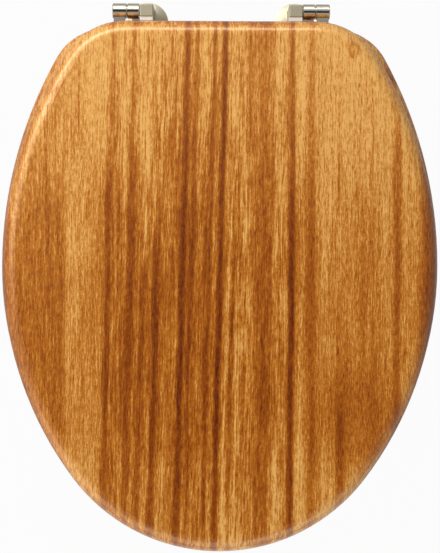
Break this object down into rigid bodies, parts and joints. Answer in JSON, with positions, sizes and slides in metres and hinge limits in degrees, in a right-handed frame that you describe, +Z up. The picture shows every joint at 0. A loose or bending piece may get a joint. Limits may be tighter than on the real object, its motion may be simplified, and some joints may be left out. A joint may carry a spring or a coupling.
{
  "type": "toilet seat",
  "caption": "Egg-shaped wooden toilet seat with a ring and lid that swing up on metal hinges, fixed by studs through the pan.",
  "frame": {"origin": "midway between the fixing studs, on the plane where the hinge bases meet the pan", "axes": "+X to the right seen from above with the hinges at the rear, +Y to the rear, +Z up"},
  "size_m": [0.376, 0.472, 0.104],
  "materials": {
    "wood": "oiled and lacquered, satin gloss",
    "polished_metal": "polished plating",
    "satin_metal": "satin plating",
    "steel": "zinc plated",
    "bush_plastic": "natural nylon",
    "nut_plastic": "white moulded nylon",
    "soft_plastic": "translucent soft plastic"
  },
  "bodies": {
    "hinge_base": {"hinge_post_left": "satin_metal", "post_pad_left": "nut_plastic", "hinge_pin_left": "steel", "base_gasket_left": "soft_plastic", "fixing_stud_left": "steel", "cone_washer_left": "soft_plastic", "flat_washer_left": "steel", "wing_nut_left": "nut_plastic", "hinge_post_right": "satin_metal", "post_pad_right": "nut_plastic", "hinge_pin_right": "steel", "base_gasket_right": "soft_plastic", "fixing_stud_right": "steel", "cone_washer_right": "soft_plastic", "flat_washer_right": "steel", "wing_nut_right": "nut_plastic"},
    "ring": {"seat_ring": "wood", "ring_bumper_screws": "steel", "ring_hinge_screws": "steel", "ring_bumper_front_left": "soft_plastic", "ring_bumper_front_right": "soft_plastic", "ring_bumper_rear_left": "soft_plastic", "ring_bumper_rear_right": "soft_plastic", "ring_hinge_arm_left": "polished_metal", "ring_hinge_bush_left": "bush_plastic", "ring_hinge_arm_right": "polished_metal", "ring_hinge_bush_right": "bush_plastic"},
    "lid_board": {"lid": "wood", "lid_bumper_screws": "steel", "lid_hinge_screws": "steel", "lid_bumper_left": "soft_plastic", "lid_hinge_arm_left": "polished_metal", "lid_hinge_bush_left": "bush_plastic", "lid_bumper_right": "soft_plastic", "lid_hinge_arm_right": "polished_metal", "lid_hinge_bush_right": "bush_plastic"}
  },
  "joints": [
    {"name": "ring_swing", "type": "hinge", "parent": "hinge_base", "child": "ring", "pos_m": [0, 0.0053, 0.0315], "axis": [-1, 0, 0], "range_deg": [0, 95]},
    {"name": "lid_swing", "type": "hinge", "parent": "ring", "child": "lid_board", "pos_m": [0, 0.0053, 0.0315], "axis": [-1, 0, 0], "range_deg": [0, 98]}
  ]
}
